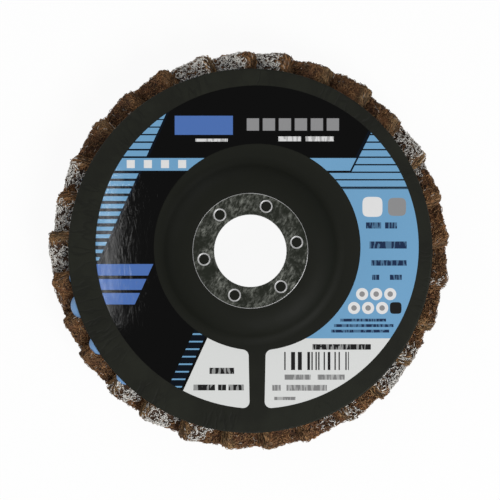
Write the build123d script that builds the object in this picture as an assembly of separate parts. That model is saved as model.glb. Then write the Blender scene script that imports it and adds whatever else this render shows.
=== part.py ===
from build123d import *

import math
import os

# Flap disc for an angle grinder, lying with its flaps down and its label up.
#
# A dished, moulded plate carries a punched steel ring round its bore and a printed
# label on its back. A ring of leaning non-woven pads, the flaps, is glued under the
# plate. Each flap lies on the next like a roof tile: its leading edge is seated in the
# adhesive, and the rest slopes away from the plate, over the neighbour before it.
#
# Units are millimetres. Z runs along the spindle towards the machine, and Z = 0 is the
# ring's outer face, which the machine's flange clamps. The disc turns clockwise seen
# from above, so each flap leads with its clockwise edge.

# ---- Driving dimensions ---------------------------------------------------------

# Whole disc
disc_dia = 125.0            # across the flaps' leading corners
bore_dia = 22.23            # spindle flange spigot

# Steel ring, moulded into the hub
ring_dia = 35.4
ring_thickness = 1.0
ring_proud = 0.15           # how far the ring stands above the plastic hub
ring_edge_round = 0.22
ring_fit = 0.02             # radial play between ring and plastic
hole_count = 6
hole_dia = 3.1
hole_bevel_width = 0.42
hole_bevel_depth = 0.3
hole_first_angle = 10.4     # degrees from +X
peg_sink = 0.45             # plastic in the holes stops this far below the ring's face

# Moulded plate
plate_margin = 6.0          # how far the flaps' leading corners stand out past its rim
plate_wall = 2.6
hub_rise = 4.8              # hub face above the plate's back
hub_land = 1.3              # flat plastic round the ring
crown_radius = 9.5          # where the hub turns down
foot_radius = 4.0           # where the hub meets the flat of the plate
rim_round = 0.6
bore_chamfer = 0.4

# Label, a printed film with a gap at the bottom
label_thickness = 0.12
label_shift_x = 2.1         # stuck on slightly off centre
label_shift_y = 1.15
label_hub_margin = 0.3      # least clear plastic between the hub's foot and the label
label_rim_margin = 4.1      # least clear plastic between the label and the rim
label_gap_inner = 5.3
label_gap_outer = 4.6
label_corner = 2.0

# Flaps
flap_count = 29
flap_first_angle = 13.5     # direction of the first flap's centre line, degrees from +X
flap_length = 24.0          # along the slope
flap_width = 22.0           # along the radius
flap_thickness = 5.4        # free thickness, at the rim
flap_lead = 12.0            # leading corner ahead of the flap's centre line
splay_gap = 0.87            # between neighbours at the rim
nest_gap = 0.16             # between neighbours at the inner edge, where they are squeezed
seat_depth = 0.6            # how much of the leading edge is pressed flat
flap_round = 0.9            # worn edges

# Adhesive bed
film_thickness = 0.3        # glue between the plate and the flaps' seats
glue_depth = 2.8            # glue in the wedge behind each flap
glue_inset = 0.8            # glue ring kept in from the flaps' inner edge and the plate's rim

# Glue squeezed out past the rim: (flap it lies behind, half its length, how far it stands out)
glue_lobes = [(15, 1.6, 0.7), (16, 3.8, 2.3), (17, 3.0, 2.0), (18, 2.4, 1.4)]

# ---- Derived places -------------------------------------------------------------

disc_r = disc_dia / 2
bore_r = bore_dia / 2
ring_r = ring_dia / 2
plate_r = disc_r - plate_margin
hole_r = hole_dia / 2
hole_circle_r = (bore_r + ring_r) / 2

# Levels, from the ring's face down
hub_z = -ring_proud
back_z = hub_z - hub_rise
front_z = back_z - plate_wall
under_z = hub_z - plate_wall
seat_z = front_z - film_thickness

# The hub's side is two tangent arcs that turn through the same angle
crown_r = ring_r + hub_land
side_turn = math.acos(1 - hub_rise / (crown_radius + foot_radius))
foot_r = crown_r + (crown_radius + foot_radius) * math.sin(side_turn)

# The label clears the hub and the rim although it is off centre
label_shift = math.hypot(label_shift_x, label_shift_y)
label_inner_r = foot_r + label_shift + label_hub_margin
label_outer_r = plate_r - label_shift - label_rim_margin

# Neighbouring flaps are one pitch apart. Along its outer edge a flap is raised off the
# neighbour by the sine of its lean times the pitch there, so that rise sets the lean.
pitch = 360 / flap_count
pitch_sin = math.sin(math.radians(pitch))
pitch_versed = 1 - math.cos(math.radians(pitch))
flap_outer_x = math.sqrt(disc_r**2 - flap_lead**2)
flap_inner_x = flap_outer_x - flap_width


def lean_angle():
    """The lean, in radians, that stacks full-thickness flaps with splay_gap at the rim.

    The flap's trailing end, which reaches past the centre line, takes up a little of
    the pitch, and where it ends depends on the lean, so the lean is found by repeating.
    """
    lean = math.radians(30)
    for _ in range(20):
        tail_y = -flap_lead + flap_thickness * math.sin(lean) + flap_length * math.cos(lean)
        rise = flap_outer_x * pitch_sin - tail_y * pitch_versed
        lean = math.asin((flap_thickness + splay_gap) / rise)
    return lean


lean = lean_angle()
lead_y = -flap_lead + flap_thickness * math.sin(lean)
tail_y = lead_y + flap_length * math.cos(lean)
lead_z = seat_z + seat_depth
root_rise = math.sin(lean) * (flap_inner_x * pitch_sin - tail_y * pitch_versed)
flap_root_thickness = root_rise - nest_gap


# ---- Steel ring -----------------------------------------------------------------


def hole_centres():
    """Places of the ring's holes, evenly round the middle of its band."""
    return PolarLocations(hole_circle_r, hole_count, start_angle=hole_first_angle)


def circles(shape, radius, level):
    """The shape's circular edges of this radius at this level."""
    round_edges = shape.edges().filter_by(GeomType.CIRCLE)
    same_size = round_edges.filter_by(lambda e: abs(e.radius - radius) < 1e-6)
    return same_size.filter_by(lambda e: abs(e.center().Z - level) < 1e-6)


def steel_ring():
    """Punched ring with a rounded rim and bevelled holes, its outer face at Z = 0."""
    blank = Circle(ring_r) - Circle(bore_r)
    blank -= [spot * Circle(hole_r) for spot in hole_centres()]
    ring = Pos(0, 0, -ring_thickness) * extrude(blank, amount=ring_thickness)
    face = ring.faces().sort_by(Axis.Z)[-1]
    ring = chamfer(circles(ring, hole_r, 0), hole_bevel_width, hole_bevel_depth, reference=face)
    return fillet(circles(ring, ring_r, 0), ring_edge_round)


# ---- Moulded plate --------------------------------------------------------------


def hub_side(wall):
    """The two tangent arcs of the hub's side, in the XZ plane, pushed in by wall.

    Both faces of the plate use the same arc centres, so its wall is even.
    """
    outer = crown_radius - wall
    inner = foot_radius + wall
    half = side_turn / 2
    crown = Vector(crown_r, hub_z - crown_radius)
    foot = Vector(foot_r, back_z + foot_radius)
    start = crown + Vector(0, outer)
    over = crown + Vector(math.sin(half), math.cos(half)) * outer
    meet = crown + Vector(math.sin(side_turn), math.cos(side_turn)) * outer
    dip = foot - Vector(math.sin(half), math.cos(half)) * inner
    end = foot - Vector(0, inner)
    return [ThreePointArc(start, over, meet), ThreePointArc(meet, dip, end)]


def backing_plate():
    """Dished plate turned about the bore, with a seat for the ring and its six pegs."""
    seat_r = ring_r + ring_fit
    back = hub_side(0)
    front = hub_side(plate_wall)
    outline = [
        Polyline(
            front[0] @ 0,
            (bore_r, under_z),
            (bore_r, -ring_thickness),
            (seat_r, -ring_thickness),
            (seat_r, hub_z),
            back[0] @ 0,
        ),
        *back,
        Polyline(back[1] @ 1, (plate_r, back_z), (plate_r, front_z), front[1] @ 1),
        *front,
    ]
    section = Plane.XZ * make_face(outline)
    plate = revolve(section, Axis.Z)
    plate = fillet(circles(plate, plate_r, back_z) + circles(plate, plate_r, front_z), rim_round)
    plate = chamfer(circles(plate, bore_r, under_z), bore_chamfer)
    peg = extrude(Circle(hole_r - ring_fit), amount=ring_thickness - peg_sink)
    pegs = [Pos(0, 0, -ring_thickness) * spot * peg for spot in hole_centres()]
    return plate + pegs


# ---- Label ----------------------------------------------------------------------


def label():
    """Ring of film on the plate's back, open at the bottom between rounded corners."""
    ring = Circle(label_outer_r) - Circle(label_inner_r)
    reach = 2 * label_outer_r
    slope = (label_gap_outer - label_gap_inner) / (label_outer_r - label_inner_r) / 2
    inner_half = label_gap_inner / 2 - slope * label_inner_r
    outer_half = label_gap_inner / 2 + slope * (reach - label_inner_r)
    gap = make_face(
        Polyline(
            (-inner_half, 0),
            (inner_half, 0),
            (outer_half, -reach),
            (-outer_half, -reach),
            close=True,
        )
    )
    film = ring - gap
    film = fillet(film.vertices(), label_corner)
    return Pos(label_shift_x, label_shift_y, back_z) * extrude(film, amount=label_thickness)


# ---- Flaps ----------------------------------------------------------------------
# In a flap's own frame X runs out along its centre line and Y along the rim, towards its
# trailing end. The flap leans, so its section is a rectangle turned down by the lean.


def across(y, z, along, down):
    """A point of the section: along the slope from (y, z), then down through the pad."""
    return (
        y + along * math.cos(lean) - down * math.sin(lean),
        z - along * math.sin(lean) - down * math.cos(lean),
    )


def flap():
    """One pad: squeezed at the inner edge, full at the rim, its top corner pressed flat.

    The edges that run out from the bore are worn round, apart from the seat's own two.
    """
    corners = [
        across(lead_y, lead_z, 0, 0),
        across(lead_y, lead_z, flap_length, 0),
        across(lead_y, lead_z, flap_length, flap_thickness),
        across(lead_y, lead_z, 0, flap_thickness),
    ]
    section = Plane.YZ * make_face(Polyline(*corners, close=True))
    pad = Pos(flap_inner_x, 0, 0) * extrude(section, amount=flap_width)
    pad = split(pad, Plane.XY.offset(seat_z), keep=Keep.BOTTOM)
    # The front face runs from the squeezed inner edge to the full outer one
    slope = Vector(0, math.cos(lean), -math.sin(lean))
    inner = Vector(flap_inner_x, *across(lead_y, lead_z, 0, flap_root_thickness))
    outer = Vector(flap_outer_x, *across(lead_y, lead_z, 0, flap_thickness))
    front = Plane(inner, x_dir=slope, z_dir=(outer - inner).cross(slope))
    pad = split(pad, front, keep=Keep.TOP)
    outward = [e for e in pad.edges() if abs((e @ 1).X - (e @ 0).X) > flap_width / 2]
    worn = [e for e in outward if e.center().Z < seat_z - seat_depth / 2]
    return fillet(worn, flap_round)


# ---- Adhesive bed ---------------------------------------------------------------


def glue_space(rise):
    """The space for glue behind one flap, up to rise above the plate's front face.

    The flap's back closes it below, and the next flap's leading edge closes it ahead.
    """
    low_z = seat_z - glue_depth
    land_y = lead_y + seat_depth / math.tan(lean)
    low_y = land_y + glue_depth / math.tan(lean)
    far_y = low_y + flap_length
    reach = disc_r - flap_inner_x
    behind = Plane.YZ * make_face(
        Polyline(
            (land_y, front_z + rise),
            (far_y, front_z + rise),
            (far_y, low_z),
            (low_y, low_z),
            (land_y, seat_z),
            close=True,
        )
    )
    ahead = Plane.YZ * make_face(
        Polyline(
            across(lead_y, lead_z, 0, -reach),
            across(lead_y, lead_z, 0, reach),
            across(lead_y, lead_z, far_y + disc_r, reach),
            across(lead_y, lead_z, far_y + disc_r, -reach),
            close=True,
        )
    )
    behind = Pos(flap_inner_x, 0, 0) * extrude(behind, amount=reach)
    return behind - Rot(0, 0, pitch) * extrude(ahead, amount=disc_r)


def glue_lobe(half_length, stand):
    """A bead squeezed out past the rim, long round the rim, just short of the next flap."""
    half_width = half_length * 0.8
    half_height = half_length * 0.6
    next_edge = math.atan2(lead_y, flap_outer_x) + math.radians(pitch)
    angle = next_edge - half_length * 1.35 / plate_r
    reach = plate_r + stand - half_width
    bead = scale(Sphere(1), by=(half_width, half_length, half_height))
    bead = Rot(0, 0, math.degrees(angle)) * Pos(reach, 0, front_z - half_height / 3) * bead
    plate_edge = Pos(0, 0, front_z) * extrude(Circle(plate_r), amount=half_length)
    return (bead & glue_space(half_length)) - plate_edge


def flap_turn(number):
    """The turn that carries a flap's own frame to its place, for flaps numbered from 1."""
    return Rot(0, 0, flap_first_angle + (number - 1) * pitch)


def adhesive_bed():
    """One ring of glue: a film under the plate, a wedge behind each flap, and the lobes."""
    band = Circle(plate_r - glue_inset) - Circle(flap_inner_x + glue_inset)
    film = Pos(0, 0, front_z) * extrude(band, amount=-film_thickness)
    pour = Pos(0, 0, front_z) * extrude(band, amount=-film_thickness - glue_depth)
    wedge = glue_space(0) & pour
    wedges = [flap_turn(number) * wedge for number in range(1, flap_count + 1)]
    lobes = [flap_turn(number) * glue_lobe(half, stand) for number, half, stand in glue_lobes]
    return film + wedges + lobes


# ---- Write every piece ----------------------------------------------------------

pieces = {
    "backing_plate": backing_plate(),
    "steel_ring": steel_ring(),
    "label": label(),
    "adhesive_bed": adhesive_bed(),
}
one_flap = flap()
for number in range(1, flap_count + 1):
    pieces[f"flap_{number:02d}"] = flap_turn(number) * one_flap

os.makedirs("parts", exist_ok=True)
for name, shape in pieces.items():
    export_step(shape, f"parts/{name}.step")

print(f"lean {math.degrees(lean):.2f} degrees, pitch {pitch:.3f} degrees")
print(f"flap thickness {flap_root_thickness:.2f} at the root and {flap_thickness:.2f} at the rim")
print(f"flap from radius {flap_inner_x:.2f} to {flap_outer_x:.2f}")
print(f"hub foot radius {foot_r:.2f}, label {label_inner_r:.2f} to {label_outer_r:.2f}")
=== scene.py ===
# %% [markdown]
# # A non-woven flap disc, dressed
#
# The disc lies on a pale table with its label up, and the camera looks straight down.
# The solids already have their true size and place, so this lesson adds what the solids
# don't have: a moulded plastic skin, a punched steel ring, a glossy printed label, and
# twenty-nine springy pads of tangled fibre that take the place of the plain wedges.

# %% Load the frame
import math

import bpy
import numpy as np
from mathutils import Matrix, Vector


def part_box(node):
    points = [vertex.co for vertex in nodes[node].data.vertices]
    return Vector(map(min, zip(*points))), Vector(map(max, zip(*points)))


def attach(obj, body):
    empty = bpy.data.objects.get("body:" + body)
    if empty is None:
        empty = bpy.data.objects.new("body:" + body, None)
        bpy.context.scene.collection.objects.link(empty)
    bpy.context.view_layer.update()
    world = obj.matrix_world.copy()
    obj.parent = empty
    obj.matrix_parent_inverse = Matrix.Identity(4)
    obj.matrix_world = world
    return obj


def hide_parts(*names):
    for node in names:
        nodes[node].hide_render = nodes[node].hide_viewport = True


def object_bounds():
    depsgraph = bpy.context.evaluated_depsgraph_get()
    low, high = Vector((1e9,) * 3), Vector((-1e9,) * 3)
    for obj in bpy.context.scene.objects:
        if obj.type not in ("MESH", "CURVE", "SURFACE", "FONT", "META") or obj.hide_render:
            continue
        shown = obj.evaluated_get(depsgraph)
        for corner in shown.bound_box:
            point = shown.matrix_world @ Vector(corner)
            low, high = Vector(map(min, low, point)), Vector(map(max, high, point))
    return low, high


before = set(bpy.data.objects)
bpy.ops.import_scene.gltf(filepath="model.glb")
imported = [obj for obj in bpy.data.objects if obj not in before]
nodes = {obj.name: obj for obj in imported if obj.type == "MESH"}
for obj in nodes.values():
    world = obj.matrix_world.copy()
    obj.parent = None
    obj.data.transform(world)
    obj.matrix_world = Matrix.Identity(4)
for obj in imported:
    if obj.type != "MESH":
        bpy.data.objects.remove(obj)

MM = 0.001
cad_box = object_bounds()
flap_names = sorted(name for name in nodes if name.startswith("flap_"))
print(f"{len(nodes)} solids, of which {len(flap_names)} are flaps")

# %% [markdown]
# ## Camera
#
# A flat product is best shown from straight above with a long lens, so that its rim and
# hub have nearly one scale. The lens could be set by eye, but it is safer to work it out: the
# bore has a known width, and it fills a known share of the picture at the clamping face.

# %% Camera
PICTURE_PIXELS = 500
CAMERA_HEIGHT = 400 * MM
PIXELS_PER_METRE = 3.27 / MM       # at the clamping face, where Z is 0
AIM_X, AIM_Y = -0.1 * MM, 0.25 * MM

camera_data = bpy.data.cameras.new("camera")
camera_data.sensor_width = 36
seen_width = PICTURE_PIXELS / PIXELS_PER_METRE
camera_data.lens = camera_data.sensor_width * CAMERA_HEIGHT / seen_width
camera_data.clip_start = 0.01
camera = bpy.data.objects.new("camera", camera_data)
camera.location = (AIM_X, AIM_Y, CAMERA_HEIGHT)
bpy.context.scene.collection.objects.link(camera)
bpy.context.scene.camera = camera
print(f"lens {camera_data.lens:.1f} mm")

# %% [markdown]
# ## Shader maths that reads like arithmetic
#
# A procedural finish is a sum of masks and noises. Wiring Math nodes by hand hides the
# sum, so a socket is wrapped in a small class whose operators add the nodes. Every other
# node comes from one function, which sets the node's options first and its inputs next.


# %% Socket wrapper
class Sock:
    """A shader socket that adds, multiplies and compares like a number."""

    def __init__(self, tree, out):
        self.tree = tree
        self.out = out

    def maths(self, operation, first, *rest):
        """One Math node, whose inputs are first and rest in turn."""
        values = dict(enumerate((first, *rest)))
        return add(self.tree, "ShaderNodeMath", {"operation": operation}, values)

    def __add__(self, other):
        return self.maths("ADD", self, other)

    def __radd__(self, other):
        return self.maths("ADD", other, self)

    def __sub__(self, other):
        return self.maths("SUBTRACT", self, other)

    def __rsub__(self, other):
        return self.maths("SUBTRACT", other, self)

    def __mul__(self, other):
        return self.maths("MULTIPLY", self, other)

    def __rmul__(self, other):
        return self.maths("MULTIPLY", other, self)

    def __truediv__(self, other):
        return self.maths("DIVIDE", self, other)

    def __lt__(self, other):
        return self.maths("LESS_THAN", self, other)

    def __gt__(self, other):
        return self.maths("GREATER_THAN", self, other)

    def __or__(self, other):
        return self.maths("MAXIMUM", self, other)

    def floor(self):
        return self.maths("FLOOR", self)

    def fraction(self):
        return self.maths("FRACT", self)

    def absolute(self):
        return self.maths("ABSOLUTE", self)

    def power(self, exponent):
        return self.maths("POWER", self, exponent)

    def length_with(self, other):
        """The length of an arrow with these two sides."""
        return self.maths("SQRT", self * self + other * other)

    def between(self, low, high):
        """1 from low to high, and 0 outside."""
        return (self > low) * (self < high)

    def smooth(self, low, high):
        """0 below low, 1 above high, and a smooth rise between them."""
        settings = {"interpolation_type": "SMOOTHSTEP"}
        values = {0: self, 1: low, 2: high, 3: 0.0, 4: 1.0}
        return add(self.tree, "ShaderNodeMapRange", settings, values)


print("sockets understand + - * / < > and |, which keeps the larger of two")

# %% [markdown]
# ## Nodes in one line each
#
# A material is built from a few kinds of node over and over. They could be added by hand,
# with three lines for each, but one function that adds any node keeps a finish as short as
# its description. The rest are that function with the settings of one kind filled in.


# %% Node helpers
def add(tree, kind, settings=None, sockets=None, out=0):
    """Adds one node: its settings first, then the value or link of each socket."""
    node = tree.nodes.new(kind)
    for key, value in (settings or {}).items():
        setattr(node, key, value)
    for key, value in (sockets or {}).items():
        if isinstance(value, Sock):
            tree.links.new(value.out, node.inputs[key])
        else:
            node.inputs[key].default_value = value
    return Sock(tree, node.outputs[out])


def mix(tree, factor, first, second):
    """A colour that goes from first to second as factor goes from 0 to 1."""
    settings = {"data_type": "RGBA"}
    return add(tree, "ShaderNodeMix", settings, {0: factor, 6: first, 7: second}, out=2)


def noise(tree, vector, scale, detail=2.0, roughness=0.5, distortion=0.0, seed=0.0):
    """Fractal noise from 0 to 1, with scale in waves per metre; each seed is a new field."""
    values = {"Vector": vector, "Scale": scale, "Detail": detail, "W": seed}
    values.update({"Roughness": roughness, "Distortion": distortion})
    return add(tree, "ShaderNodeTexNoise", {"noise_dimensions": "4D"}, values)


def axes(tree, vector):
    """The three axes of a vector, each as a socket of its own."""
    split = tree.nodes.new("ShaderNodeSeparateXYZ")
    tree.links.new(vector.out, split.inputs[0])
    return [Sock(tree, out) for out in split.outputs]


def stretched(tree, vector, scale, turn=0.0):
    """Coordinates that are turned about Z, then scaled on each axis."""
    values = {"Vector": vector, "Rotation": (0.0, 0.0, turn), "Scale": scale}
    return add(tree, "ShaderNodeMapping", {"vector_type": "TEXTURE"}, values)


def new_material(name):
    """A material with an empty tree, its Principled shader and its Object coordinates."""
    material = bpy.data.materials.new(name)
    material.use_nodes = True
    tree = material.node_tree
    tree.nodes.clear()
    shader = tree.nodes.new("ShaderNodeBsdfPrincipled")
    output = tree.nodes.new("ShaderNodeOutputMaterial")
    tree.links.new(shader.outputs[0], output.inputs[0])
    place = add(tree, "ShaderNodeTexCoord", out=3)
    return material, tree, shader, place


def feed(tree, shader, **inputs):
    """Links or sets the shader's sockets, named with underscores for spaces."""
    for key, value in inputs.items():
        socket = shader.inputs[key.replace("_", " ")]
        if isinstance(value, Sock):
            tree.links.new(value.out, socket)
        else:
            socket.default_value = value


def bump(tree, height, distance, strength=1.0):
    """A normal from a height of 0 to 1 that stands for this distance in metres."""
    values = {"Strength": strength, "Distance": distance, "Height": height}
    return add(tree, "ShaderNodeBump", None, values)


def grey(value, red=0.0, green=0.0, blue=0.0):
    """A linear grey with a little added to a channel."""
    return (value + red, value + green, value + blue, 1.0)


def dress(name, material):
    """Gives a solid of the frame its one material."""
    nodes[name].data.materials.clear()
    nodes[name].data.materials.append(material)
    print(f"{name} dressed in {material.name}, {len(material.node_tree.nodes)} nodes")


print(f"white is {grey(1.0)}")


# %% [markdown]
# ## Moulded plastic
#
# The plate is black glass-filled plastic. It is matt, faintly green, and a little cloudy
# where the glass lies near the skin. Its thin outer band shows shallow radial creases
# where the pads pull on it. A flat black would look like a hole, so the roughness and the
# grain vary slowly over the plate. The creases follow the angle round the axis, and their
# lines are darkened with painted shade.


# %% Plate finish
def plate_finish():
    """Clouded black, darker at the hub, with radial creases darkened by painted shade in the outer
    band.
    """
    material, tree, shader, place = new_material("moulded_plastic")
    x, y, _ = axes(tree, place)
    radius = x.length_with(y)
    angle = x.maths("ARCTAN2", y, x)
    cloud = noise(tree, place, 90.0, 4.0, 0.6)
    grain = noise(tree, place, 2600.0, 3.0, 0.6)

    # Creases: noise that is long along the radius and short round the rim
    polar = add(tree, "ShaderNodeCombineXYZ", None, {0: radius * 60.0, 1: angle * 9.0, 2: 0.0})
    crease = (noise(tree, polar, 1.6, 2.0, 0.5) - 0.5).absolute().smooth(0.0, 0.06)
    outer = radius.smooth(46 * MM, 52 * MM) * noise(tree, place, 60.0, 1.0).smooth(0.42, 0.6)

    clear_black, cloudy_black = (0.0048, 0.0052, 0.0030, 1.0), (0.0108, 0.0118, 0.0078, 1.0)
    hub_black, crease_shade = (0.0030, 0.0036, 0.0016, 1.0), (0.0030, 0.0033, 0.0020, 1.0)
    colour = mix(tree, cloud.smooth(0.3, 0.7), clear_black, cloudy_black)
    colour = mix(tree, radius.smooth(28 * MM, 42 * MM), hub_black, colour)
    # Painted shade: the crease lines in the outer band are darkened
    colour = mix(tree, (1.0 - crease) * outer * 0.5, colour, crease_shade)
    height = grain * 0.03 + cloud * 0.12 + crease * outer * 0.5
    feed(tree, shader, Base_Color=colour, Roughness=0.52 + 0.2 * cloud)
    feed(tree, shader, Normal=bump(tree, height, 0.35 * MM, 0.7), Specular_IOR_Level=0.12)
    return material


dress("backing_plate", plate_finish())

# %% [markdown]
# ## Punched steel
#
# The ring is thin sheet steel, punched and moulded in. Its face is dull with a film of
# plastic and oil, wiped in cloudy smears, while the bevels of the holes and the rim are
# clean and bright. Where the surface tilts away from Z it is a bevel, so the normal's own
# Z tells the two apart and no extra piece is needed.


# %% Steel finish
def steel_finish():
    """Bright metal where the surface tilts away from Z, and a smeared film where it is flat."""
    material, tree, shader, place = new_material("punched_steel")
    normal = add(tree, "ShaderNodeNewGeometry", out=1)
    flat = axes(tree, normal)[2].absolute().smooth(0.9, 0.995)
    wipe = noise(tree, stretched(tree, place, (0.8, 1.7, 1.0), -0.5), 900.0, 5.0, 0.75, 0.3)
    patch = noise(tree, place, 170.0, 4.0, 0.65, 0.8, seed=5.1)
    smear = wipe.smooth(0.4, 0.72) * patch.smooth(0.38, 0.68)
    oil_black, wiped_grey = (0.0078, 0.0096, 0.0056, 1.0), (0.30, 0.31, 0.275, 1.0)
    film = mix(tree, smear, oil_black, wiped_grey)
    colour = mix(tree, flat, grey(0.44), film)
    feed(tree, shader, Base_Color=colour, Metallic=(1.0 - flat) * 0.5, Roughness=0.45)
    feed(tree, shader, Normal=bump(tree, wipe, 0.03 * MM, 0.5), Specular_IOR_Level=0.12)
    return material


dress("steel_ring", steel_finish())


# %% [markdown]
# ## Printed label
#
# The label is glossy paper printed in blues, black and greys. The print could be an
# image, but it is made of straight edges and even stripes, so each field is a mask worked
# out from X and Y in millimetres. Slanted edges all lean alike: one skewed coordinate, X
# less a share of Y, turns them into plain thresholds. Nothing is written on this label:
# where writing would be, there are plain blocks of ink of the same length and height.

# %% Print layout, in millimetres from the bore's centre
STRIPE_PITCH = 2.33
STRIPE_CENTRE = 23.15
EVEN_STRIPE = 0.405                # half a stripe on the right, as a share of the pitch
LEFT_SLANT, RIGHT_SLANT = 0.46, 0.5
STRIPES_LEFT, STRIPES_RIGHT = -45.6, 19.1     # where the stripes stop, on the slanted axes
STRIPES_FOOT = -3.4                # on the left
EVEN_CORNER, EVEN_FOOT = 24.3, 19.35     # on the right they reach further in below a corner
LADDER_LEFT, LADDER_RIGHT, LADDER_TOP = -6.0, -1.8, -24.0
BAND_LOW, BAND_HIGH, BAND_END = 24.8, 28.7, 18.5
BARS = [(-7.65, -4.1), (-12.1, -8.7), (-16.6, -13.05)]
BARS_END = -28.15
TITLE_BAR = (-23.4, -5.4, 35.9, 41.8)
FIELD_TOP, PANEL_TOP = 19.1, -27.1
FIRST_SQUARE, SQUARE_PITCH, SQUARE_Y, HALF_SQUARE = -37.0, 5.3, 26.85, 1.25
SQUARES_LEFT, SQUARES_RIGHT = -39.6, -18.5
FIRST_STEP, STEP_PITCH, HALF_STEP = 0.8, 4.95, 1.9
STEP_ROW = (-1.7, 28.0, 37.2, 41.0)
UPPER_DISCS, LOWER_DISCS = (34.6, -13.4), (32.1, -17.7)     # the first centre of each row
DISC_PITCH, DISC_MARGIN = 4.35, 2.1
DISC_RADIUS, DOT_RADIUS = 1.88, 0.85
WHITE_TILE, GREY_TILE, BLACK_TILE = (37.8, 13.6, 3.1), (45.4, 13.6, 2.8), (45.0, -17.7, 1.8)
CODE_BARS = (9.6, 30.5, -36.9, -31.3)
CODE_CELL = 0.42
OUTSIDE = 60.0                     # further out than any edge of the label

# Blocks of ink that stand for lines of words: left, right, bottom, top
NAVY_LINES = [
    (35.8, 40.5, 6.9, 8.8), (41.7, 45.4, 6.9, 8.8), (36.9, 48.4, 0.7, 2.9),
    (37.4, 48.4, -4.6, -2.9), (37.7, 39.9, -9.0, -7.4), (43.2, 46.9, -9.0, -7.4),
    (27.8, 42.0, -21.9, -21.0), (25.9, 44.3, -23.6, -22.7), (25.0, 43.0, -25.3, -24.4),
]
BLACK_LINES = [
    (19.2, 37.3, -30.6, -28.9), (-12.7, -5.0, -38.1, -36.2), (-17.6, -10.9, -43.2, -41.4),
    (-10.0, -7.5, -43.2, -41.4), (-6.8, -2.0, -43.2, -41.4),
]
GREY_LINES = [
    (10.6, 18.7, -39.9, -38.3), (20.8, 29.2, -39.9, -38.3), (6.8, 9.4, -43.3, -41.5),
    (11.2, 23.7, -43.3, -41.5), (7.4, 14.0, -46.2, -45.2),
]
WHITE_LINES = [(8.7, 15.7, 33.9, 35.4), (17.1, 25.8, 33.9, 35.4), (-17.0, -7.0, 33.8, 34.7)]
line_count = len(NAVY_LINES) + len(BLACK_LINES) + len(GREY_LINES) + len(WHITE_LINES)
print(f"{line_count} blocks of ink stand for lines of words")

# %% [markdown]
# ## Marks to print with
#
# The print repeats a few marks: a rectangle, a row of equal things, a disc, a tile with
# round corners. They could be curves laid on the label, but each would need its own piece
# and its own height, so each one is a test of X and Y that is 1 inside and 0 outside.


# %% Marks of the print
def block(x, y, corners):
    """1 inside a rectangle given by its left, right, bottom and top."""
    left, right, bottom, top = corners
    return x.between(left, right) * y.between(bottom, top)


def blocks(x, y, rows):
    """1 inside any of the rectangles."""
    total = block(x, y, rows[0])
    for corners in rows[1:]:
        total = total | block(x, y, corners)
    return total


def off_centre(x, first, pitch):
    """Distance from x to the nearest of a row of centres, pitch apart."""
    return ((x - first) / pitch + 0.5).fraction() * pitch - pitch / 2


def disc_row(x, y, first, radius):
    """Three discs in a row from the first centre: near any of the three, and between the
    row's two ends."""
    first_x, first_y = first
    near = off_centre(x, first_x, DISC_PITCH).length_with(y - first_y) < radius
    return near * x.between(first_x - DISC_MARGIN, first_x + 2 * DISC_PITCH + DISC_MARGIN)


def tile(x, y, centre_x, centre_y, half):
    """A square with round corners: |x|^4 + |y|^4 < half^4."""
    spread = (x - centre_x).absolute().power(4.0) + (y - centre_y).absolute().power(4.0)
    return spread < half**4


print(f"stripes every {STRIPE_PITCH} mm, {len(BARS)} bars")

# %% [markdown]
# ## Large and small marks
#
# The label carries thinning stripes, a band, a field, a panel and rows of small plain
# marks. All of it could be one long expression, but it is easier to mend when each group
# of marks has its own function, which returns masks and knows nothing of colours.


# %% Groups of marks
def striped(x, y, left, right):
    """Stripes thin out towards the bottom on the left, and stay even on the right. The
    second mask is where the stripes' bluer ink is printed."""
    phase = off_centre(y, STRIPE_CENTRE, STRIPE_PITCH) / STRIPE_PITCH
    share = (0.47 + 0.0095 * y) | 0.2
    thinning = phase.absolute() < share * 0.5
    even = phase.absolute() < EVEN_STRIPE
    upper_left = (left < STRIPES_LEFT) * y.between(BAND_HIGH + 0.3, OUTSIDE)
    lower_left = (left < STRIPES_LEFT) * y.between(STRIPES_FOOT, BAND_LOW - 0.4)
    ladder = left.between(LADDER_LEFT, LADDER_RIGHT) * y.between(-OUTSIDE, LADDER_TOP)
    upper_right = (right > STRIPES_RIGHT) * y.between(EVEN_CORNER, OUTSIDE)
    lower_right = (x > 0.0) * y.between(EVEN_FOOT, EVEN_CORNER)
    stripes = (upper_left | lower_left | ladder) * thinning | (upper_right | lower_right) * even
    bluer = (left < -44.8) * (y > -4.0) | (right > 18.0) * (y > 18.0) | ladder
    return stripes, bluer


def large_marks(x, y, left, right):
    """The black band and field, the blue bars and the white panel."""
    band = y.between(BAND_LOW, BAND_HIGH) * (right < BAND_END)
    field = (x > 0.0) * y.between(PANEL_TOP, FIELD_TOP)
    bars = block(x, y, TITLE_BAR)
    for low, high in BARS:
        bars = bars | y.between(low, high) * (left < BARS_END)
    panel = (y < PANEL_TOP) * (x > 0.0) | (left > -0.9) * (y < -20.0) * (x < 5.0)
    return band | field, bars, panel


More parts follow.
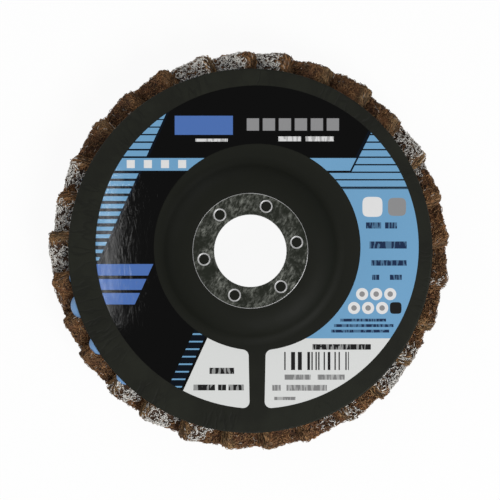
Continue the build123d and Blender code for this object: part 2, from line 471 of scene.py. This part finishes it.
def small_marks(tree, x, y):
    """Plain marks in white, grey and black: squares on the band, steps of a scale, discs,
    tiles and uneven bars."""
    off_square = off_centre(x, FIRST_SQUARE, SQUARE_PITCH).absolute() | (y - SQUARE_Y).absolute()
    squares = (off_square < HALF_SQUARE) * x.between(SQUARES_LEFT, SQUARES_RIGHT)
    steps = (off_centre(x, FIRST_STEP, STEP_PITCH).absolute() < HALF_STEP) * block(x, y, STEP_ROW)
    discs = disc_row(x, y, UPPER_DISCS, DISC_RADIUS) | disc_row(x, y, LOWER_DISCS, DISC_RADIUS)
    dots = disc_row(x, y, UPPER_DISCS, DOT_RADIUS) | disc_row(x, y, LOWER_DISCS, DOT_RADIUS)
    white = squares | discs | tile(x, y, *WHITE_TILE)
    middle_grey = dots | steps | tile(x, y, *GREY_TILE)
    cell = (x / CODE_CELL).floor()
    uneven = add(tree, "ShaderNodeTexWhiteNoise", {"noise_dimensions": "1D"}, {"W": cell}) > 0.48
    black = block(x, y, CODE_BARS) * uneven | tile(x, y, *BLACK_TILE)
    return white, middle_grey, black


print(f"the bars of the code are {CODE_CELL} mm wide")

# %% [markdown]
# ## Label finish
#
# The inks go down in the order of a press: the blue ground first, black over it, then the
# pale fields and what is printed on those. Each ink is one Mix node whose factor is a
# mask. The varnish over them is a very smooth surface with fine ripples, because a flat
# mirror would show the lamp as a hard bar.


# %% Label finish
def label_finish():
    """The inks in the order in which they cover each other, under a rippled varnish."""
    material, tree, shader, place = new_material("printed_label")
    x, y = [axis * (1 / MM) for axis in axes(tree, place)[:2]]
    left = x - LEFT_SLANT * y
    right = x - RIGHT_SLANT * y
    stripes, bluer = striped(x, y, left, right)
    band_and_field, bars, panel = large_marks(x, y, left, right)
    white_marks, grey_marks, black_marks = small_marks(tree, x, y)

    # Inks
    tone = noise(tree, place, 40.0, 2.0, 0.5)
    worn = 0.6 + 0.4 * (noise(tree, stretched(tree, place, (1.0, 6.0, 1.0)), 1400.0, 1.0) > 0.47)
    full_black, stripe_black = grey(0.0008), (0.0010, 0.0035, 0.009, 1.0)
    deep_blue, light_blue = (0.150, 0.340, 0.545, 1.0), (0.180, 0.385, 0.605, 1.0)
    bar_blue, navy = (0.075, 0.165, 0.45, 1.0), (0.012, 0.028, 0.075, 1.0)
    black = mix(tree, bluer, full_black, stripe_black)
    blue = mix(tree, tone, deep_blue, light_blue)
    colour = mix(tree, stripes | band_and_field, black, blue)
    colour = mix(tree, bars, colour, bar_blue)
    colour = mix(tree, panel, colour, grey(0.70, green=0.01))
    colour = mix(tree, white_marks, colour, grey(0.76))
    colour = mix(tree, grey_marks, colour, grey(0.27, blue=0.005))
    colour = mix(tree, worn * blocks(x, y, WHITE_LINES), colour, grey(0.70))
    colour = mix(tree, worn * blocks(x, y, NAVY_LINES), colour, navy)
    colour = mix(tree, worn * blocks(x, y, BLACK_LINES) | black_marks, colour, grey(0.012))
    colour = mix(tree, worn * blocks(x, y, GREY_LINES), colour, grey(0.22))

    # Painted highlight: the cut edge of the paper at the lower left is painted pale, where it catches
    # the light
    edge = (x.length_with(y) > 49.72) * (x < -30.0) * (y < -15.5)
    colour = mix(tree, edge * tone.smooth(0.3, 0.5), colour, grey(0.42))

    # The varnish
    ripple = noise(tree, stretched(tree, place, (0.8, 1.8, 1.0), 0.1), 520.0, 4.0, 0.6, 1.2)
    swell = noise(tree, place, 110.0, 2.0, 0.5)
    height = 0.2 * ripple + 0.4 * swell
    waves = bump(tree, height, 0.06 * MM)
    feed(tree, shader, Base_Color=colour, Roughness=0.03 + 0.03 * tone, Normal=waves)
    feed(tree, shader, Specular_IOR_Level=0.06)
    return material


dress("label", label_finish())


# %% [markdown]
# ## Cured adhesive
#
# The glue is a sky-blue resin that has set with a skin, smooth and slightly cloudy. Two
# noises could give its colour and its surface apart, but on real glue the thick places are
# both paler and higher, so one noise drives the colour, the roughness and the bump.


# %% Adhesive finish
def adhesive_finish():
    """Two blues, mixed by the cloud that also lifts the surface."""
    material, tree, shader, place = new_material("blue_adhesive")
    cloud = noise(tree, place, 400.0, 4.0, 0.6)
    deep_blue, pale_blue = (0.10, 0.23, 0.46, 1.0), (0.19, 0.36, 0.62, 1.0)
    colour = mix(tree, cloud, deep_blue, pale_blue)
    feed(tree, shader, Base_Color=colour, Roughness=0.28 + 0.2 * cloud)
    feed(tree, shader, Normal=bump(tree, cloud, 0.5 * MM, 0.7))
    return material


dress("adhesive_bed", adhesive_finish())

# %% [markdown]
# ## A pad's own axes
#
# Each pad leans, so it is easier to build it lying flat and then lay it in place. In its
# own axes a point has a distance out from the bore, a distance along the slope from the
# leading edge, and a depth down through the pad. The sizes are read from the first
# flap's solid, so the pads can't drift from the frame.

# %% Pad axes
FIRST_TURN = math.radians(13.5)
LEAN = math.radians(29.05)
PITCH = 2 * math.pi / len(flap_names)
lean_cos, lean_sin = math.cos(LEAN), math.sin(LEAN)


def to_pad(points, turn):
    """Turns points back by turn about Z, then reads them along and down the slope."""
    out = points[..., 0] * math.cos(turn) + points[..., 1] * math.sin(turn)
    side = points[..., 1] * math.cos(turn) - points[..., 0] * math.sin(turn)
    along = side * lean_cos - points[..., 2] * lean_sin
    down = -side * lean_sin - points[..., 2] * lean_cos
    return np.stack([out, along, down], axis=-1)


def to_world(points, turn):
    """The other way round: lays pad coordinates on the slope and turns them about Z."""
    side = points[..., 1] * lean_cos - points[..., 2] * lean_sin
    height = -points[..., 1] * lean_sin - points[..., 2] * lean_cos
    x = points[..., 0] * math.cos(turn) - side * math.sin(turn)
    y = points[..., 0] * math.sin(turn) + side * math.cos(turn)
    return np.stack([x, y, height], axis=-1)


def mesh_points(mesh):
    """All vertices of a mesh as an array of rows."""
    flat = np.empty(len(mesh.vertices) * 3)
    mesh.vertices.foreach_get("co", flat)
    return flat.reshape(-1, 3)


flap_points = mesh_points(nodes[flap_names[0]].data)
solid = to_pad(flap_points, FIRST_TURN)
inner_x, back_along, back_down = solid.min(axis=0)
outer_x, front_along, front_down = solid.max(axis=0)
pad_length = front_along - back_along
rim_thickness = front_down - back_down
root_thickness = solid[solid[:, 0] < inner_x + 0.1 * MM, 2].max() - back_down
plate_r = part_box("backing_plate")[1][0]
seat_z = flap_points[:, 2].max()
print(f"pad {pad_length / MM:.1f} mm long")
print(f"{root_thickness / MM:.1f} mm thick at its root, {rim_thickness / MM:.1f} mm at its rim")

# %% [markdown]
# ## Lumps
#
# A non-woven web has no clean faces. Its lumps could come from a Displace modifier, but
# the strands have to follow the same lumps, so both read one field. The field holds
# random numbers at the corners of a cubic lattice, and blends them inside each cube.


# %% Lattice noise
LATTICE = 32                       # corners along each side before the field repeats


def lumps(points, cell, seed):
    """Smooth random vectors from -1 to 1: the eight lattice corners round each point,
    weighted by the fade 3f^2 - 2f^3 of the point's place f in its cube."""
    table = np.random.default_rng(seed).uniform(-1, 1, (LATTICE, LATTICE, LATTICE, 3))
    place = points / cell
    low = np.floor(place).astype(int)
    fade = place - low
    fade = fade * fade * (3 - 2 * fade)
    total = np.zeros_like(points)
    for corner in np.ndindex(2, 2, 2):
        weight = np.prod(np.where(corner, fade, 1 - fade), axis=-1, keepdims=True)
        cube = (low + corner) % LATTICE
        total += weight * table[cube[..., 0], cube[..., 1], cube[..., 2]]
    return total


sample = lumps(solid, 2 * MM, seed=1)
print(f"the field goes from {sample.min():.2f} to {sample.max():.2f} on a flap's solid")


# %% [markdown]
# ## The pad's skin
#
# A pad is a box with soft edges. Eight corner pieces and six faces would need many
# seams, so it is one grid instead: rings of the box's outline, which grow from the middle
# of the leading face to full size, run along the slope, and shrink again at the far end.
# Both the outline and the growth follow a superellipse, which is a square whose corners
# are drawn in: each point of the square is divided by (|p|^n + |q|^n)^(1/n).


# %% Pad grid
RING_LONG, RING_SHORT = 34, 9      # points along a wide side and a narrow side of a ring
CAP_ROWS, BODY_ROWS = 9, 38
RING_POWER, CAP_POWER = 16, 30     # the higher the power, the sharper the pad's corners


def drawn_in(p, q, power):
    """A point of the unit square, drawn in to the superellipse of this power."""
    share = (np.abs(p) ** power + np.abs(q) ** power) ** (-1 / power)
    return p * share, q * share


def box_grid():
    """Pad coordinates of every ring: rows run along the slope, columns round the ring."""
    long_side = np.linspace(-1, 1, RING_LONG, endpoint=False)
    short_side = np.linspace(-1, 1, RING_SHORT, endpoint=False)
    ones_long, ones_short = np.ones(RING_LONG), np.ones(RING_SHORT)
    across = np.concatenate([long_side, ones_short, -long_side, -ones_short])
    depth = np.concatenate([-ones_long, short_side, ones_long, -short_side])
    across, depth = drawn_in(across, depth, RING_POWER)
    cap = np.linspace(0, 1, CAP_ROWS, endpoint=False)
    body = np.linspace(-1, 1, BODY_ROWS)
    grow = np.concatenate([cap, np.ones(BODY_ROWS), cap[::-1]])
    run = np.concatenate([-np.ones(CAP_ROWS), body, np.ones(CAP_ROWS)])
    grow, run = drawn_in(grow, run, CAP_POWER)
    p = grow[:, None] * across[None, :]
    q = grow[:, None] * depth[None, :]
    out = inner_x + (p + 1) / 2 * (outer_x - inner_x)
    thick = root_thickness + (rim_thickness - root_thickness) * (p + 1) / 2
    down = back_down + (q + 1) / 2 * thick
    along = back_along + (run[:, None] + 1) / 2 * pad_length * np.ones_like(p)
    return np.stack([out, along, down], axis=-1), p, q


flat_grid, pad_p, pad_q = box_grid()
print(f"pad grid of {flat_grid.shape[0]} by {flat_grid.shape[1]} points")

# %% [markdown]
# ## From a grid to a mesh
#
# A grid of points becomes a skin once its cells are filled. Blender can fill a grid by
# itself, but here the triangles have to close round the ring and meet in one point at
# each end, so that the skin has no seam and no hole. They are the same for every pad, and
# are worked out once.


# %% Skin of a grid
def grid_triangles(rows, columns):
    """Two triangles for each cell of a grid whose columns close on themselves."""
    row, column = np.meshgrid(np.arange(rows - 1), np.arange(columns), indexing="ij")
    beside = (column + 1) % columns
    a, b = row * columns + column, row * columns + beside
    c, d = a + columns, b + columns
    first = np.stack([a, c, b], axis=-1).reshape(-1, 3)
    second = np.stack([b, c, d], axis=-1).reshape(-1, 3)
    return np.concatenate([first, second])


def weld_poles(triangles, rows, columns):
    """Makes one point of each end row, and drops the triangles that this flattens."""
    last = (rows - 1) * columns
    triangles = np.where(triangles < columns, 0, triangles)
    triangles = np.where(triangles >= last, last, triangles)
    a, b, c = triangles.T
    return triangles[(a != b) & (b != c) & (c != a)]


def grid_normals(points):
    """Unit normals of a grid, from the cross product of its two directions."""
    down_rows = np.gradient(points, axis=0)
    round_ring = np.roll(points, -1, axis=1) - np.roll(points, 1, axis=1)
    normal = np.cross(round_ring, down_rows)
    length = np.linalg.norm(normal, axis=-1, keepdims=True)
    return normal / np.maximum(length, 1e-12)


def mesh_from(name, points, triangles, material, **fields):
    """A smooth mesh from arrays, with one float attribute for each named field."""
    used, triangles = np.unique(triangles, return_inverse=True)
    triangles = triangles.reshape(-1, 3)
    points = points[used]
    mesh = bpy.data.meshes.new(name)
    mesh.vertices.add(len(points))
    mesh.vertices.foreach_set("co", points.ravel())
    mesh.loops.add(triangles.size)
    mesh.loops.foreach_set("vertex_index", triangles.ravel())
    mesh.polygons.add(len(triangles))
    mesh.polygons.foreach_set("loop_start", np.arange(0, triangles.size, 3))
    mesh.polygons.foreach_set("use_smooth", np.ones(len(triangles), dtype=bool))
    mesh.update(calc_edges=True)
    for field, values in fields.items():
        attribute = mesh.attributes.new(field, "FLOAT", "POINT")
        attribute.data.foreach_set("value", values.ravel()[used].astype(np.float32))
    mesh.materials.append(material)
    piece = bpy.data.objects.new(name, mesh)
    bpy.context.scene.collection.objects.link(piece)
    return piece


rows, columns = pad_p.shape
pad_triangles = weld_poles(grid_triangles(rows, columns)[:, ::-1], rows, columns)
print(f"{len(pad_triangles)} triangles in a pad's skin")

# %% [markdown]
# ## Web finish
#
# The web is nylon fibre in brown resin. Cut edges are golden, where the knife opened the
# fibre, and some pads carry a skin of pale fibre on their back. Three numbers travel with
# every vertex: how pale it is, how golden, and how light or dark its strand, where dark is
# partly painted shade. The finest fibres could be modelled too, but they would take millions
# of triangles, so the finish draws them between the modelled strands: where a noise passes
# through its middle value it leaves a thin curly line, and three such noises make a tangle.
# The gaps between the lines are painted dark, as shade deep in the web.


# %% Web finish
def tangle(tree, place, scale, width):
    """Curly lines of three noises: 1 on the line |noise - 0.5| = 0, and 0 past width."""
    total = None
    for seed in (1.7, 5.2, 9.4):
        line = noise(tree, place, scale, 1.0, 0.4, 0.3, seed) - 0.5
        line = 1.0 - line.absolute().smooth(width * 0.35, width)
        total = line if total is None else total | line
    return total


def web_finish(name, voids):
    """The finish of a web: voids is 1 where the gaps between fine strands get painted shade."""
    material, tree, shader, place = new_material(name)
    pale = add(tree, "ShaderNodeAttribute", {"attribute_name": "pale"}, out=2)
    gold = add(tree, "ShaderNodeAttribute", {"attribute_name": "gold"}, out=2)
    shade = add(tree, "ShaderNodeAttribute", {"attribute_name": "shade"}, out=2)
    grit = noise(tree, place, 2300.0, 3.0, 0.65)
    patch = noise(tree, place, 210.0, 3.0, 0.6)
    dark_brown, light_brown = (0.25, 0.112, 0.056, 1.0), (0.46, 0.208, 0.083, 1.0)
    brown = mix(tree, patch.smooth(0.35, 0.65), dark_brown, light_brown)
    golden = mix(tree, grit, (0.46, 0.28, 0.12, 1.0), (0.74, 0.52, 0.27, 1.0))
    white = mix(tree, grit, (0.84, 0.82, 0.77, 1.0), (0.95, 0.93, 0.88, 1.0))
    colour = mix(tree, gold, brown, golden)
    colour = mix(tree, pale, colour, white)
    strands = tangle(tree, place, 1200.0, 0.09)
    lit = (grit.smooth(0.3, 0.6) * 0.4 + 0.6) * shade
    # Painted shade: the gaps between the fine strands are darkened
    lit = lit * (1.0 - voids * (1.0 - strands))
    gap_shade = (0.018, 0.011, 0.008, 1.0)
    colour = mix(tree, lit, gap_shade, colour)
    height = grit * 0.4 + strands * voids
    feed(tree, shader, Base_Color=colour, Roughness=0.6 + 0.25 * grit)
    feed(tree, shader, Normal=bump(tree, height, 0.3 * MM, 0.9), Specular_IOR_Level=0.15)
    return material


web_core = web_finish("web_core", 0.95)
web_strand = web_finish("web_strand", 0.0)
print(f"a web's finish has {len(web_core.node_tree.nodes)} nodes")

# %% [markdown]
# ## Which pads are pale
#
# Pale fibre is not spread evenly. It could be left to chance, but then every pad would be
# a little pale, where on a real disc some are nearly white and their neighbours brown. So
# each entry gives, for a flap's number, where its pale skin starts and ends along the
# slope in millimetres, and how much of it is there. On some pads the rim has worn brown,
# and there the skin ends sooner the further out it is.

# %% Pale skins
PALE = {
    2: (9, 15, 0.7), 3: (0, 11, 0.9), 7: (1.5, 11, 0.95), 8: (0.5, 11, 0.95),
    9: (-1, 11, 0.8), 13: (1, 8, 0.9), 14: (1.5, 15, 1.0), 15: (2, 11.5, 0.95),
    19: (0.5, 10, 0.8), 20: (1, 12.5, 0.85), 21: (1, 9.5, 0.75), 24: (6, 12, 0.4),
    25: (0, 3, 0.6), 26: (1, 12.5, 0.95), 27: (0, 4, 0.7), 29: (-2, 1, 0.3),
}
WORN_RIM = {19: 1.2, 20: 1.1, 21: 1.3}     # millimetres sooner for each millimetre outwards
GOLDEN = {                         # how golden the cut leading edge is, where not PLAIN_GOLD
    3: 1.0, 4: 0.8, 5: 0.9, 6: 1.0, 9: 0.9, 12: 0.7, 15: 0.9, 19: 0.9, 20: 0.9,
    21: 0.8, 22: 1.0, 23: 0.8, 25: 0.8, 26: 0.9, 27: 1.0, 28: 1.0,
}
# Painted shade: these upper pads get less of the light from the lower right, so their strands are
# painted a darker brown
SHADED_PADS = (4, 5, 6, 10, 11, 12)       # pads whose strands are a darker brown
PLAIN_GOLD, PAINTED_SHADE = 0.5, 0.72


def paleness(number, out, along, wobble):
    """1 inside the flap's pale skin and 0 outside, with a ragged edge."""
    start, end, amount = PALE.get(number, (0, 0, 0))
    reach = (along - back_along) / MM + 1.5 * wobble
    worn = WORN_RIM.get(number, 0) * np.maximum(out - plate_r, 0) / MM
    return amount * ((reach > start) & (reach < end - worn))


print(f"{len(PALE)} pads have pale skin, {len(GOLDEN)} a golden edge, {len(SHADED_PADS)} are dark")


# %% [markdown]
# ## Strands
#
# What makes a web look like a web is its tangle of curly strands. A hair system would
# not survive an export, so each strand is a thin three-sided tube. Its path wanders over
# the pad's grid: it starts somewhere, keeps turning, and rises and dips a little, and its
# points are read from the grid by blending the four nearest. All strands of a pad are
# worked out together as one array.

# %% Strand paths
STRANDS, STRAND_POINTS = 740, 6
STRAND_RADIUS = 0.11 * MM
STRAND_LENGTH = 1.3, 3.4           # the shortest and the longest, in millimetres
CURL = 2.8                         # how far a strand turns on its way, in radians
ROW_STEP = pad_length / BODY_ROWS
COLUMN_STEP = (outer_x - inner_x) / RING_LONG


def read_grid(grid, row, column):
    """The grid's value between its points: a blend of the four round (row, column). A row
    past either pole comes down on the pole's other side, half a ring further round."""
    last = grid.shape[0] - 1
    column = column + grid.shape[1] / 2 * ((row < 0) | (row > last))
    row = np.clip(last - np.abs(last - np.abs(row)), 0, last - 0.001)
    low_row, low_column = np.floor(row).astype(int), np.floor(column).astype(int)
    row_share, column_share = (row - low_row)[..., None], (column - low_column)[..., None]
    left, right = low_column % grid.shape[1], (low_column + 1) % grid.shape[1]
    near = grid[low_row, left] * (1 - column_share) + grid[low_row, right] * column_share
    far = grid[low_row + 1, left] * (1 - column_share) + grid[low_row + 1, right] * column_share
    return near * (1 - row_share) + far * row_share


def start_weights(pale):
    """More strands where they show: pale skin, the pad's rim, its cut faces, its free end."""
    out = flat_grid[..., 0]
    along = (flat_grid[..., 1] - back_along) / MM
    shown_back = (pad_q < -0.7) & (out > plate_r - 3 * MM) & (along < 14)
    rim_side = pad_p > 0.85
    lead_face = (along < 1) & (out > plate_r - 3 * MM)
    free_front = (pad_q > 0.7) & (along > 11)
    weights = 0.05 + 2.4 * shown_back + 0.6 * rim_side + 1.2 * lead_face + 0.25 * free_front
    weights = weights + 0.2 * (along > 20) + 1.2 * pale * shown_back
    return weights.ravel() / weights.sum()


def strand_paths(grid, normals, pale, random):
    """Paths of all strands: an arc over the grid whose heading turns at an even rate."""
    start = random.choice(pad_p.size, STRANDS, p=start_weights(pale))
    row, column = np.divmod(start, pad_p.shape[1])
    length = random.uniform(*STRAND_LENGTH, STRANDS) * MM
    heading = random.uniform(0, 2 * math.pi, STRANDS)
    curl = random.normal(0, CURL, STRANDS)
    step = np.linspace(0, 1, STRAND_POINTS)[None, :]
    angle = heading[:, None] + curl[:, None] * step + 0.8 * np.sin(9 * step + heading[:, None] * 3)
    ahead = np.cumsum(np.cos(angle), axis=1) / STRAND_POINTS * length[:, None]
    aside = np.cumsum(np.sin(angle), axis=1) / STRAND_POINTS * length[:, None]
    rows = row[:, None] + random.uniform(0, 1, STRANDS)[:, None] + ahead / ROW_STEP
    columns = column[:, None] + random.uniform(0, 1, STRANDS)[:, None] + aside / COLUMN_STEP
    lift = random.uniform(-0.05, 0.28, STRANDS)[:, None] * MM
    wave = random.uniform(0.1, 0.35, STRANDS)[:, None] * MM
    height = lift + wave * np.sin(math.pi * (1 + curl[:, None] * 0.3) * step + heading[:, None])
    points = read_grid(grid, rows, columns)
    normal = read_grid(normals, rows, columns)
    return points + normal * height[..., None], normal, start


print(f"{STRANDS} strands to a pad; a cell is {ROW_STEP / MM:.2f} by {COLUMN_STEP / MM:.2f} mm")

# %% [markdown]
# ## Tubes along the paths
#
# A fibre is round, and a curve with a bevel would make it round too. At a tenth of a
# millimetre nobody sees the difference between a circle and a triangle, and there are
# some twenty thousand strands, so three sides are enough.


# %% Strand tubes
def strand_tubes(points, normal, radius):
    """Three corners round every path point, in the plane across the path."""
    heading = np.gradient(points, axis=1)
    heading /= np.maximum(np.linalg.norm(heading, axis=-1, keepdims=True), 1e-9)
    side = np.cross(heading, normal)
    side /= np.maximum(np.linalg.norm(side, axis=-1, keepdims=True), 1e-9)
    rise = np.cross(side, heading)
    turns = np.arange(3) * 2 * math.pi / 3
    ring = side[:, :, None] * np.cos(turns)[:, None] + rise[:, :, None] * np.sin(turns)[:, None]
    return points[:, :, None] + ring * radius[:, None, None, None]


def tube_triangles(count):
    """Triangles of count tubes of three sides, closed at both ends."""
    one = grid_triangles(STRAND_POINTS, 3)
    last = 3 * (STRAND_POINTS - 1)
    one = np.concatenate([one, [[0, 1, 2], [last, last + 2, last + 1]]])
    return (one[None] + np.arange(count)[:, None, None] * 3 * STRAND_POINTS).reshape(-1, 3)


strand_triangles = tube_triangles(STRANDS)
print(f"{len(strand_triangles)} triangles in a pad's strands")


# %% [markdown]
# ## Lay every pad
#
# No two pads sit quite alike. They could be copies of one mesh, but a ring of equal pads
# looks stamped, so each is worked out anew from its own random numbers. Each one is
# shifted a little at its rim, and the whole ring of pads sits a little to the left of the
# bore. Every leading edge is still pressed flat under the plate.

# %% Lay the pads
RING_SHIFT = np.array([-0.36, 0.22, 0.0]) * MM
RIM_SWELL = 0.15 * MM
RIM_SLANT = 0.02                   # the rim edge runs out a little along the slope
SLIP = math.radians(1.1)           # the ring's shift also turns the pads at top and bottom
SETBACK = math.radians(1.2)
TURN_SPREAD = math.radians(0.45)
RIM_SPREAD = np.array([0.22, 0.3, 0.15])     # how far a rim shifts out, along and down, in mm
COARSE_SEED, FINE_SEED, WOBBLE_SEED, STRAND_SEED = 0, 50, 90, 400


def lay_pad(number, random):
    """The pad's grid in place: the flat grid, shifted at the rim, with its lumps."""
    turn = FIRST_TURN + (number - 1) * PITCH
    turn += SLIP * math.sin(turn) - SETBACK + random.normal(0, TURN_SPREAD)
    rim_share = np.clip((flat_grid[..., :1] - inner_x) / (outer_x - inner_x), 0, 1) ** 2
    shift = random.normal(0, 1, 3) * RIM_SPREAD * MM
    swell = RIM_SWELL + RIM_SLANT * (flat_grid[..., 1:2] - back_along)
    local = flat_grid + rim_share * (shift + swell * np.array([1, 0, 0]))
    coarse = 0.3 * MM * lumps(local, 2.1 * MM, number + COARSE_SEED)
    fine = 0.22 * MM * lumps(local, 0.8 * MM, number + FINE_SEED)
    local = local + coarse + fine
    world = to_world(local, turn) + rim_share * RING_SHIFT
    radius = np.hypot(world[..., 0], world[..., 1])
    ceiling = seat_z + np.where(radius > plate_r, 0.5 * MM, 0.0)
    world[..., 2] = np.minimum(world[..., 2], ceiling)
    world[..., 2] = np.maximum(world[..., 2], cad_box[0][2] + STRAND_RADIUS)
    return world


print(f"a pad every {math.degrees(PITCH):.2f} degrees, turned by {math.degrees(TURN_SPREAD):.2f} or so")

# %% [markdown]
# ## Colour of the strands
#
# A strand takes after the place where it starts: pale in pale skin, golden on a cut edge,
# brown elsewhere. Every point could have its own colour, but a fibre hardly changes along
# its length, so each strand has one paleness, one gold and one shade. Pale fibres have
# burst out of the resin, so they are a little thicker too.

# %% Strand colours
PALE_SHARE, STRAY_SHARE = 0.76, 0.03     # of the strands in pale skin, and anywhere


def strand_colours(number, start, pale, gold, random):
    """How pale, how golden and how light each strand is, and its radius."""
    among_pale = pale.ravel()[start]
    strand_pale = (random.uniform(0, 1, STRANDS) < PALE_SHARE * among_pale).astype(float)
    stray_pale = random.uniform(0, 1, STRANDS) < STRAY_SHARE
    strand_pale = np.maximum(strand_pale, 0.5 * stray_pale)
    most_gold = np.maximum(gold.ravel()[start], PLAIN_GOLD)
    strand_gold = most_gold * random.uniform(0, 1, STRANDS) ** 0.8
    # Painted shade on the upper pads, which get less of the light from the lower right
    strand_shade = random.uniform(0.2, 1.1, STRANDS) * (PAINTED_SHADE if number in SHADED_PADS else 1.0)
    # Painted shade: brown strands among pale skin are darkened, as in the shade between its white
    # fibres
    strand_shade = strand_shade * (1 - 0.6 * among_pale)
    strand_shade = np.maximum(strand_shade, 0.95 * strand_pale)
    radius = STRAND_RADIUS * random.uniform(0.75, 1.2, STRANDS) * (1 + 0.4 * strand_pale)
    return strand_pale, strand_gold, strand_shade, radius


print(f"{PALE_SHARE:.0%} of the strands in pale skin are pale")

# %% [markdown]
# ## Make every pad
#
# A real pad is one web, but its dense core and its loose strands need different finishes.
# They could be two materials on one mesh. Two meshes are plainer: the core stands for the
# flap's solid and closes the pad, and the strands ride on it.

# %% Make the pads
for number, name in enumerate(flap_names, start=1):
    random = np.random.default_rng(STRAND_SEED + number)
    world = lay_pad(number, random)
    wobble = lumps(flat_grid, 1.6 * MM, number + WOBBLE_SEED)[..., 0]
    lead_face = np.clip(1.5 - (flat_grid[..., 1] - back_along) / (1.1 * MM), 0, 1)
    gold = lead_face * GOLDEN.get(number, PLAIN_GOLD)
    pale = paleness(number, flat_grid[..., 0], flat_grid[..., 1], wobble) * (pad_q < 0.2)
    # Painted shade: the core is darkened under pale skin
    shade = (0.5 + 0.5 * wobble) * (1 - 0.75 * pale)

    pad = mesh_from(f"{name}_web", world.reshape(-1, 3), pad_triangles, web_core,
                    pale=pale * 0.15, gold=gold * 0.8, shade=shade * 0.6)
    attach(pad, "root")
    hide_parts(name)

    points, normal, start = strand_paths(world, grid_normals(world), pale, random)
    colours = strand_colours(number, start, pale, gold, random)
    strand_pale, strand_gold, strand_shade, radius = colours
    points[..., 2] = np.maximum(points[..., 2], cad_box[0][2] + radius[:, None])
    tubes = strand_tubes(points, normal, radius)
    repeat = 3 * STRAND_POINTS
    web = mesh_from(f"{name}_strands", tubes.reshape(-1, 3), strand_triangles, web_strand,
                    pale=np.repeat(strand_pale, repeat), gold=np.repeat(strand_gold, repeat),
                    shade=np.repeat(strand_shade, repeat))
    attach(web, "root")
triangle_count = len(flap_names) * (len(pad_triangles) + len(strand_triangles))
print(f"{len(flap_names)} pads laid, {triangle_count} triangles in all")

# %% [markdown]
# ## Table
#
# The disc lies on a pale table. A curved backdrop would hide the far edge in a low view,
# but this camera looks straight down, so a flat square that is far wider than the picture
# is enough.

# %% Table
TABLE_SIZE = 3.0
table_z = cad_box[0][2]
table_mesh = bpy.data.meshes.new("table")
half = TABLE_SIZE / 2
outline = [(-half, -half), (half, -half), (half, half), (-half, half)]
table_mesh.from_pydata([(x, y, table_z) for x, y in outline], [], [(0, 1, 2, 3)])
table = bpy.data.objects.new("table", table_mesh)
bpy.context.scene.collection.objects.link(table)
print(f"table {TABLE_SIZE} m wide at a height of {table_z / MM:.2f} mm")

# %% [markdown]
# ## Table finish
#
# The camera sees the table as white. More light would whiten it, but would burn the label
# out too. So the table is lit like everything else and also shines a little, for the rays
# that come from the eye or from something glossy: it stays white, and the disc's shadow
# on it stays soft and faint.

# %% Table finish
TABLE_SHINE = 0.93


def seen_rays(tree):
    """1 for rays from the camera, and for those mirrored or let through on their way."""
    rays = tree.nodes.new("ShaderNodeLightPath")
    seen = Sock(tree, rays.outputs["Is Camera Ray"]) | Sock(tree, rays.outputs["Is Glossy Ray"])
    return seen | Sock(tree, rays.outputs["Is Transmission Ray"])


def table_finish():
    """A plain pale surface that shines for the rays that are seen."""
    material, tree, shader, _ = new_material("pale_table")
    feed(tree, shader, Base_Color=grey(0.9), Roughness=0.8)
    surface = Sock(tree, shader.outputs[0])
    shine = add(tree, "ShaderNodeEmission", None, {"Color": grey(1.0), "Strength": 1.0})
    share = seen_rays(tree) * TABLE_SHINE
    blend = add(tree, "ShaderNodeMixShader", None, {0: share, 1: surface, 2: shine})
    output = next(node for node in tree.nodes if node.bl_idname == "ShaderNodeOutputMaterial")
    tree.links.new(blend.out, output.inputs[0])
    return material


table_mesh.materials.append(table_finish())
print(f"the table shines at {TABLE_SHINE} of white")

# %% [markdown]
# ## Lamps
#
# A product is lit softly from one side, so that its lumps cast small shadows. One small
# strong lamp would do that with hard black edges, so the lamps are wide panels: one at the
# lower right does most of the work, and a faint one at the upper left fills the shadows.
# A narrow third one stands where the label mirrors it, as a sheen on its left half.


# %% Lamps
def lamp(name, place, size, power):
    """A rectangular area lamp at place, turned towards the origin."""
    data = bpy.data.lights.new(name, "AREA")
    data.shape = "RECTANGLE"
    data.size, data.size_y = size
    data.energy = power
    lamp_object = bpy.data.objects.new(name, data)
    bpy.context.scene.collection.objects.link(lamp_object)
    lamp_object.location = place
    lamp_object.rotation_euler = lamp_object.location.to_track_quat("Z", "Y").to_euler()
    print(f"{name} lamp of {power} W")


lamp("key", (0.5, -0.62, 0.75), (0.5, 0.5), 8.6)
lamp("fill", (-0.5, 0.45, 0.3), (0.5, 0.5), 1.3)
lamp("sheen", (-0.127, 0.003, 0.75), (0.134, 0.012), 0.18)

# %% [markdown]
# ## World
#
# The room round the disc is pale, and it shows in everything glossy. The world could hold
# a picture of a studio, but here it only has to be even: dim as a light, so that the
# lamps keep their shadows, and white for the rays that the eye follows.

# %% World
WORLD_FILL = 0.36
world = bpy.data.worlds.new("studio")
bpy.context.scene.world = world
world.use_nodes = True
tree = world.node_tree
tree.nodes.clear()
background = tree.nodes.new("ShaderNodeBackground")
world_output = tree.nodes.new("ShaderNodeOutputWorld")
tree.links.new(background.outputs[0], world_output.inputs[0])
strength = WORLD_FILL + (1.0 - WORLD_FILL) * seen_rays(tree)
tree.links.new(strength.out, background.inputs["Strength"])
background.inputs["Color"].default_value = grey(1.0)

bpy.context.scene.view_settings.view_transform = "Standard"
print(f"the world lights at {WORLD_FILL} and is seen at 1")
